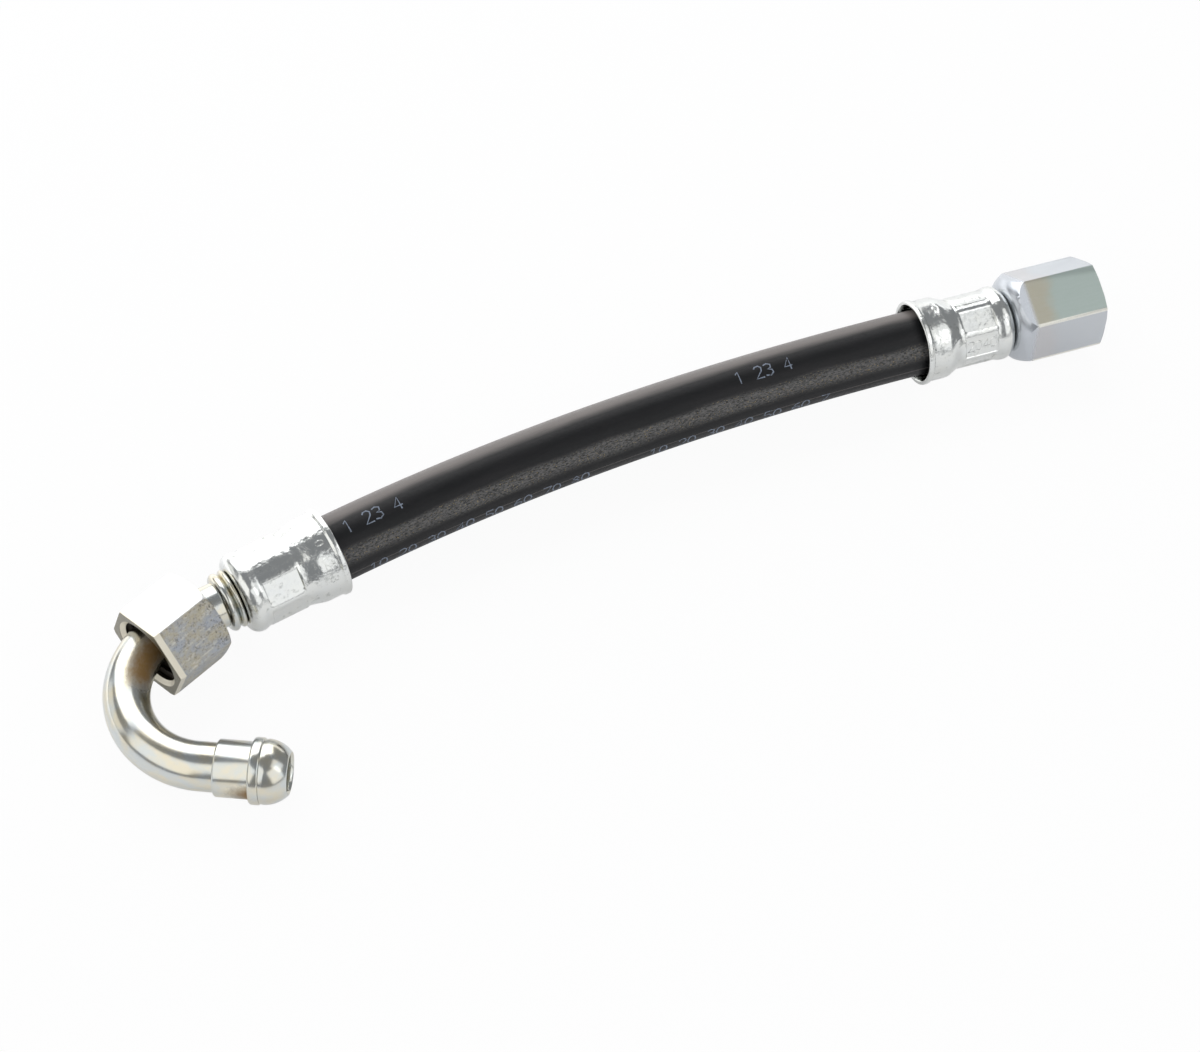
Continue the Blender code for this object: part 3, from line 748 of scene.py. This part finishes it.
def raise_ridges(bm, crimp_radius, pad_start, turn):
    """Lifts the narrow ridges that the crimping tool leaves between its pads."""
    half_width = math.tau / TURN_STEPS * PAD_COLUMNS / 2
    pitch = math.tau / PAD_COUNT
    for vertex in bm.verts:
        if not pad_start - 0.1 * MM < vertex.co.z < pad_start + PAD_LENGTH + 0.1 * MM:
            continue
        flat = Vector((vertex.co.x, vertex.co.y, 0.0))
        from_pad = abs((math.atan2(flat.y, flat.x) - turn + pitch / 2) % pitch - pitch / 2)
        if flat.length > crimp_radius - 0.1 * MM and from_pad > half_width:
            vertex.co += flat.normalized() * RIDGE_HEIGHT


def lobe(bm, crimp_radius, pad_start, turn):
    """Pulls the wall in a little beside each pad, as the crimp's pressure does."""
    for vertex in bm.verts:
        flat = Vector((vertex.co.x, vertex.co.y, 0.0))
        if flat.length < crimp_radius - 0.3 * MM:
            continue
        reach = 1 - min(abs(pad_start - vertex.co.z) / (4.2 * MM), 1.0)
        if vertex.co.z > pad_start:
            continue
        wave = math.cos(PAD_COUNT * (math.atan2(flat.y, flat.x) - turn))
        vertex.co -= flat.normalized() * (0.16 * MM * reach * (0.5 + 0.5 * wave))


def add_ferrule(name, node, place, shape, look):
    crimp_radius, flare_length, pad_start, shoulder_radius, turn = shape
    bm = bmesh.new()
    lathe(bm, ferrule_outline(crimp_radius, flare_length, pad_start, shoulder_radius))
    bm.transform(Matrix.Rotation(turn, 4, "Z"))
    lobe(bm, crimp_radius, pad_start, turn)
    press_pads(bm, crimp_radius, pad_start, turn)
    raise_ridges(bm, crimp_radius, pad_start, turn)
    soften(bm, 0.07 * MM)
    remember_places(bm)
    return piece(name, bm, place, look, "bright_zinc", "hose_body", node)


def tube_stations():
    """Stations of the hooked tube: out of the hose, over both beads, round the bend, into the nose."""
    outward = LEFT_AZIMUTH + math.pi
    stations = []

    def straight(distance, radius):
        place = axis_frame(direction(outward) * distance, outward)
        stations.append((place, radius, radius, distance))

    straight(TUBE_FROM_RIM, TUBE_RADIUS)
    straight(FERRULE_LENGTH - 0.5 * MM, TUBE_RADIUS)
    for i in range(BEAD_STEPS + 1):
        distance = BEAD_START + (BEAD_END - BEAD_START) * i / BEAD_STEPS
        straight(distance, bead_radius(distance))
    straight(BEAD_END + 0.6 * MM, TUBE_RADIUS)
    straight(STUB_LENGTH - 1.0 * MM, TUBE_RADIUS)
    first = LEFT_AZIMUTH + math.pi / 2
    last = NOSE_AZIMUTH - math.pi / 2 + math.tau
    for i in range(BEND_STEPS + 1):
        share = i / BEND_STEPS
        angle = first + (last - first) * share
        squeeze = BEND_SQUEEZE * min(math.sin(math.pi * share) * 1.6, 1.0)
        point = bend_centre() + direction(angle) * BEND_RADIUS
        distance = STUB_LENGTH + (angle - first) * BEND_RADIUS
        width = TUBE_RADIUS * (1 - squeeze)
        height = TUBE_RADIUS * (1 + squeeze * 0.4)
        stations.append((axis_frame(point, angle + math.pi / 2), width, height, distance))
    reach = STUB_LENGTH + (last - first) * BEND_RADIUS
    for beyond in (NOSE_STRAIGHT, NOSE_STRAIGHT + SOCKET_DEPTH - FIT):
        point = nose_place() @ Vector((0.0, 0.0, beyond - NOSE_STRAIGHT))
        stations.append((axis_frame(point, NOSE_AZIMUTH), TUBE_RADIUS, TUBE_RADIUS, reach + beyond))
    return stations


def bead_radius(distance):
    """The tube's outside radius where two rounded rings stand side by side on it."""
    radius = TUBE_RADIUS
    for centre, half_width in BEADS:
        across = abs(distance - centre) / half_width
        if across < 1:
            radius = max(radius, TUBE_RADIUS + BEAD_HEIGHT * math.sqrt(1 - across**2))
    return radius


def mark_brown_patch_along(bm, low, high, turn, spread):
    """Marks a brown patch between two distances along a swept piece, round a side."""
    own = bm.verts.layers.float_vector["own"]
    stain = bm.verts.layers.float.get("stain") or bm.verts.layers.float.new("stain")
    fade = 8.0 * MM
    for vertex in bm.verts:
        distance = vertex[own][0] * MM
        angle = vertex[own][1] * MM / HOSE_RADIUS
        away = abs((angle - turn + math.pi) % math.tau - math.pi)
        along = min(max((distance - low) / fade, 0.0), 1.0) * min(max((high - distance) / fade, 0.0), 1.0)
        vertex[stain] = max(vertex[stain], along * max(0.0, 1 - (away / spread) ** 2))


def add_bent_tube(place, look):
    bm = bmesh.new()
    sweep(bm, tube_stations())
    bmesh.ops.recalc_face_normals(bm, faces=bm.faces)
    mark_brown_patch_along(bm, STUB_LENGTH - 1 * MM, STUB_LENGTH + 25 * MM, math.radians(45), math.radians(55))
    tube = piece("hooked_tube", bm, place, look, "warm_zinc", "hose_body", "bent_tube")
    wall = tube.modifiers.new("wall", "SOLIDIFY")
    wall.thickness = TUBE_WALL
    wall.offset = -1.0
    return tube


def nose_outline():
    """The closed section of a ball nose, from the rim of its bore over the ball to the sleeve and back."""
    reach = math.sqrt(BALL_RADIUS**2 - NOSE_MOUTH_RADIUS**2)
    start = math.atan2(reach, NOSE_MOUTH_RADIUS)
    collar_top = SLEEVE_LENGTH + COLLAR_LENGTH
    outline = arc((0.0, BALL_CENTRE), BALL_RADIUS, start, 0.06, 16)
    outline += [(BALL_RADIUS - 0.12 * MM, collar_top + 0.2 * MM), (BALL_RADIUS - 0.12 * MM, collar_top)]
    outline += arc((COLLAR_RADIUS - 0.4 * MM, collar_top - 0.4 * MM), 0.4 * MM, math.pi / 2, 0.0, 4)
    outline += arc((COLLAR_RADIUS - 0.6 * MM, SLEEVE_LENGTH + 0.6 * MM), 0.6 * MM, 0.0, -math.pi / 2, 5)
    outline += [(SLEEVE_RADIUS, SLEEVE_LENGTH), (SLEEVE_RADIUS, 0.35 * MM), (SLEEVE_RADIUS - 0.3 * MM, 0.0)]
    bore = TUBE_RADIUS - TUBE_WALL
    socket = TUBE_RADIUS + FIT
    outline += [(socket, 0.0), (socket, SOCKET_DEPTH), (bore, SOCKET_DEPTH)]
    outline += [(bore, BALL_CENTRE + reach - 0.6 * MM)]
    return outline


def add_nose(name, node, place, look, with_brown_patch):
    bm = bmesh.new()
    lathe(bm, nose_outline())
    soften(bm, 0.06 * MM)
    remember_places(bm)
    stain = bm.verts.layers.float.new("stain")
    # Marks a brown patch on one side of the sleeve, just below the collar.
    for vertex in bm.verts:
        if with_brown_patch and SLEEVE_LENGTH - 3.0 * MM < vertex.co.z < SLEEVE_LENGTH + 0.2 * MM:
            side = math.atan2(-vertex.co.y, -vertex.co.x)
            vertex[stain] = max(0.0, 1.0 - (side / math.radians(38)) ** 2)
    return piece(name, bm, place, look, "warm_zinc", "hose_body", node)


def add_right_tube(place, look):
    far = FERRULE_LENGTH + RIGHT_SLEEVE_FROM_FERRULE + SOCKET_DEPTH - FIT
    bore = TUBE_RADIUS - TUBE_WALL
    bm = bmesh.new()
    lathe(bm, [(TUBE_RADIUS, far), (TUBE_RADIUS, TUBE_FROM_RIM), (bore, TUBE_FROM_RIM), (bore, far)])
    remember_places(bm)
    return piece("straight_tube", bm, place, look, "warm_zinc", "hose_body", "right_tube")


def temporary(name, bm):
    clean(bm)
    mesh = bpy.data.meshes.new(name)
    bm.to_mesh(mesh)
    bm.free()
    obj = bpy.data.objects.new(name, mesh)
    bpy.context.scene.collection.objects.link(obj)
    return obj


def cut_with(bm, tools):
    """The mesh after each tool's Boolean, and the tools gone."""
    body = temporary("blank", bm)
    for tool, operation in tools:
        cut = body.modifiers.new(tool.name, "BOOLEAN")
        cut.object = tool
        cut.operation = operation
        cut.solver = "EXACT"
    bpy.context.view_layer.update()
    graph = bpy.context.evaluated_depsgraph_get()
    result = bmesh.new()
    result.from_object(body, graph)
    for obj in [body] + [tool for tool, _ in tools]:
        bpy.data.objects.remove(obj, do_unlink=True)
    return result


def hexagon(length, roll, bevel_width, bevel_length):
    """A hexagonal bar behind its mouth at Z = 0, its six front edges cut back by a flat bevel."""
    bm = bmesh.new()
    radius = ACROSS_CORNERS / 2
    middle = Matrix.Translation((0.0, 0.0, -(length + bevel_length) / 2))
    place = middle @ Matrix.Rotation(roll - math.pi / 6, 4, "Z")
    depth = length - bevel_length
    bmesh.ops.create_cone(
        bm, cap_ends=True, segments=6, radius1=radius, radius2=radius, depth=depth, matrix=place
    )
    front = [face for face in bm.faces if face.normal.z > 0.9]
    bmesh.ops.inset_region(
        bm, faces=front, thickness=bevel_width, depth=bevel_length, use_even_offset=True
    )
    return bm


def turned_tool(name, outline):
    bm = bmesh.new()
    lathe(bm, outline, steps=120)
    return temporary(name, bm)


def nut_bore(length, back_wall):
    """The closed section of what is cut from a nut: its mouth, its thread's bore and its back hole."""
    beyond = 2 * MM
    seat = -length + back_wall
    outline = [(THIN, beyond), (NUT_MOUTH_RADIUS + beyond, beyond)]
    outline += [(THREAD_CREST, THREAD_CREST - NUT_MOUTH_RADIUS), (THREAD_MAJOR, THREAD_MAJOR - 9.1 * MM)]
    outline += [(THREAD_MAJOR, seat + 1.4 * MM), (THREAD_MINOR, seat + 0.8 * MM)]
    outline += [(NUT_HOLE_RADIUS, seat), (NUT_HOLE_RADIUS, -length + 0.4 * MM)]
    outline += [(NUT_HOLE_RADIUS + 0.4 * MM + beyond, -length - beyond), (THIN, -length - beyond)]
    return outline


def add_thread(bm, start, end):
    """A ridge that winds down the inside of a nut, with its foot sunk in the wall."""
    section = [
        (THREAD_MAJOR + 0.1 * MM, start),
        (THREAD_MINOR, start - THREAD_PITCH * 0.42),
        (THREAD_MINOR, start - THREAD_PITCH * 0.52),
        (THREAD_MAJOR + 0.1 * MM, start - THREAD_PITCH * 0.94),
    ]
    corners = [bm.verts.new((radius, 0.0, height)) for radius, height in section]
    face = bm.faces.new(corners)
    turns = (start - end - THREAD_PITCH) / THREAD_PITCH
    steps = int(turns * 60)
    drop = Vector((0.0, 0.0, -THREAD_PITCH / 60))
    bmesh.ops.spin(
        bm,
        geom=[face],
        cent=(0.0, 0.0, 0.0),
        axis=(0.0, 0.0, 1.0),
        dvec=drop,
        angle=steps / 60 * math.tau,
        steps=steps,
        use_merge=False,
    )
    bmesh.ops.recalc_face_normals(bm, faces=bm.faces)


def finish_nut(name, bm, place, look, slot, body, node):
    """A nut's large faces stay flat, and only its rounded edges are shaded round."""
    nut = piece(name, bm, place, look, slot, body, node)
    flat = nut.modifiers.new("flat_faces", "WEIGHTED_NORMAL")
    flat.keep_sharp = True
    flat.weight = 100
    return nut


def add_left_nut(place, look):
    length = LEFT_NUT_LENGTH
    corner = ACROSS_CORNERS / 2
    blank = [(THIN, 0.5 * MM), (9.9 * MM, 0.5 * MM)]
    blank += arc((corner - 0.7 * MM, -0.8 * MM), 0.8 * MM, math.radians(80), 0.0, 6)
    blank += [(corner + 0.12 * MM, 1.6 * MM - length)]
    blank += arc((corner - 2.2 * MM, 2.2 * MM - length), 2.32 * MM, math.radians(-10), math.radians(-62), 6)
    blank += [(8.9 * MM, -length - 0.1 * MM), (THIN, -length - 0.1 * MM)]
    tools = [
        (turned_tool("blank_turning", blank), "INTERSECT"),
        (turned_tool("bore", nut_bore(length, 2.2 * MM)), "DIFFERENCE"),
    ]
    bm = cut_with(hexagon(length, LEFT_NUT_ROLL, 0.14 * MM, 1.4 * MM), tools)
    soften(bm, 0.14 * MM, 3, math.radians(12))
    add_thread(bm, -0.9 * MM, 2.2 * MM - length + 1.5 * MM)
    remember_places(bm)
    # Marks the bore behind the mouth, which the finish paints dark as shade.
    stain = bm.verts.layers.float.new("stain")
    for vertex in bm.verts:
        if math.hypot(vertex.co.x, vertex.co.y) < THREAD_MAJOR + 0.2 * MM and vertex.co.z < -1.0 * MM:
            vertex[stain] = 1.0
    return finish_nut("loose_union_nut", bm, place, look, "worn_steel", "left_nut", "left_union_nut")


def add_right_nut(place, look):
    length = RIGHT_NUT_LENGTH
    corner = ACROSS_CORNERS / 2
    blank = [(THIN, 0.5 * MM), (9.7 * MM, 0.5 * MM), (9.7 * MM, RIGHT_NUT_FRONT)]
    blank += [(corner + 0.05 * MM, 0.0), (corner + 0.4 * MM, -1.0 * MM)]
    blank += [(corner + 0.4 * MM, -RIGHT_NUT_CORNER_LENGTH + 1.5 * MM)]
    blank += [(radius * MM, -height * MM) for radius, height in RIGHT_NUT_BACK]
    blank += [(THIN, -length - 0.2 * MM)]
    shoulder = FERRULE_LENGTH + RIGHT_SLEEVE_FROM_FERRULE + SLEEVE_LENGTH
    back_wall = length - (RIGHT_NUT_MOUTH_FROM_RIM - shoulder) - 0.65 * MM
    tools = [
        (turned_tool("blank_turning", blank), "INTERSECT"),
        (turned_tool("bore", nut_bore(length, back_wall)), "DIFFERENCE"),
    ]
    bar = hexagon(length + RIGHT_NUT_FRONT, RIGHT_NUT_ROLL, 0.01 * MM, 0.1 * MM)
    bar.transform(Matrix.Translation((0.0, 0.0, RIGHT_NUT_FRONT)))
    bm = cut_with(bar, tools)
    soften(bm, 0.09 * MM, 3, math.radians(20))
    add_thread(bm, -0.9 * MM, back_wall - length + 1.5 * MM)
    remember_places(bm)
    return finish_nut("swivel_union_nut", bm, place, look, "satin_zinc", "right_nut", "right_union_nut")


def add_floor():
    bm = bmesh.new()
    bmesh.ops.create_grid(bm, x_segments=1, y_segments=1, size=3.0)
    mesh = bpy.data.meshes.new("floor")
    bm.to_mesh(mesh)
    bm.free()
    look = Look("white_floor", {"Base Color": (0.85, 0.85, 0.86, 1.0), "Roughness": 0.9})
    path = look.tree.nodes.new("ShaderNodeLightPath")
    seen = Value(look, path.outputs["Is Camera Ray"])
    mirrored = Value(look, path.outputs["Is Glossy Ray"])
    across, depth, _ = look.split(look.node("ShaderNodeTexCoord", output="Object"))
    behind = look.step(depth - 0.45 * across, 0.03, 0.08)
    plain = look.glow_over(look.shader.outputs[0], 1.0, seen * 0.94)
    leftward = 1.0 - 0.8 * look.step(across, 0.02, 0.06)
    # Painted reflection: the floor glows for reflected rays only, most behind and to the left, brightening what the
    # metal and rubber mirror.
    painted_reflection_glow = look.glow_over(plain, 1.8, mirrored * (0.17 + 0.7 * behind * leftward))
    look.tree.links.new(painted_reflection_glow, look.tree.nodes["Material Output"].inputs[0])
    mesh.materials.append(look.material)
    floor = bpy.data.objects.new("floor", mesh)
    bpy.context.scene.collection.objects.link(floor)


def add_lamp(name, place, aim, width, depth, power, colour=WHITE_LIGHT):
    lamp = bpy.data.lights.new(name, "AREA")
    lamp.shape = "RECTANGLE"
    lamp.size = width
    lamp.size_y = depth
    lamp.energy = power
    lamp.color = colour
    obj = bpy.data.objects.new(name, lamp)
    obj.location = place
    obj.rotation_euler = (Vector(aim) - Vector(place)).to_track_quat("-Z", "Y").to_euler()
    bpy.context.scene.collection.objects.link(obj)


def light_scene():
    """A studio with the light behind and over the left, a low one at the right front, and a dim rest."""
    middle = (0.0, 0.0, 0.0)
    add_lamp("back_softbox", (-0.25, 0.55, 0.55), middle, 1.1, 0.75, 5.2)
    add_lamp("low_back_softbox", (-0.1, 0.8, 0.14), middle, 1.6, 0.26, 1.4)
    add_lamp("left_softbox", (-0.85, 0.1, 0.22), middle, 0.5, 0.35, 0.4, WARM_LIGHT)
    add_lamp("front_left_softbox", (-0.5, -0.45, 0.5), middle, 0.8, 0.8, 2.0, WARM_LIGHT)
    add_lamp("front_right_softbox", (0.5, -0.5, 0.42), middle, 0.7, 0.75, 1.5)
    add_lamp("overhead_right_softbox", (0.45, -0.1, 0.5), middle, 0.4, 0.5, 0.5)
    world = bpy.data.worlds.new("studio")
    world.use_nodes = True
    bpy.context.scene.world = world
    background = world.node_tree.nodes["Background"]
    background.inputs["Color"].default_value = (0.93, 0.96, 1.0, 1.0)
    background.inputs["Strength"].default_value = 0.3


def add_camera():
    lens = bpy.data.cameras.new("camera")
    lens.lens = CAMERA_LENS
    lens.sensor_width = CAMERA_SENSOR
    lens.sensor_fit = "HORIZONTAL"
    lens.clip_start = 0.01
    camera = bpy.data.objects.new("camera", lens)
    camera.location = CAMERA_PLACE
    camera.rotation_euler = (math.pi / 2 - CAMERA_DOWN, 0.0, 0.0)
    bpy.context.scene.collection.objects.link(camera)
    bpy.context.scene.camera = camera


def main():
    add_camera()
    plan = plan_place()
    left_end = plan @ axis_frame(Vector((0.0, 0.0, 0.0)), LEFT_AZIMUTH + math.pi)
    right_end = plan @ axis_frame(right_rim(), RIGHT_AZIMUTH)
    sleeve = Matrix.Translation((0.0, 0.0, FERRULE_LENGTH + RIGHT_SLEEVE_FROM_FERRULE))
    warm_zinc = warm_zinc_look()
    bright_zinc = bright_zinc_look()
    add_hose(plan, rubber_look())
    add_print(plan, print_look())
    add_ferrule("left_crimp_ferrule", "left_ferrule", left_end, LEFT_FERRULE, bright_zinc)
    add_ferrule("right_crimp_ferrule", "right_ferrule", right_end, RIGHT_FERRULE, bright_zinc)
    add_left_stamp(left_end, bright_zinc)
    add_raised_digits(right_end, bright_zinc)
    add_bent_tube(plan, warm_zinc)
    add_nose("hook_ball_nose", "left_ball_nose", plan @ nose_place(), warm_zinc, True)
    add_right_tube(right_end, warm_zinc)
    add_nose("inner_ball_nose", "right_ball_nose", right_end @ sleeve, warm_zinc, False)
    add_left_nut(joint_frame("left_nut_spin"), worn_steel_look())
    add_right_nut(joint_frame("right_nut_spin"), satin_zinc_look())
    add_floor()
    light_scene()
    bpy.context.scene.view_settings.view_transform = "Standard"


main()
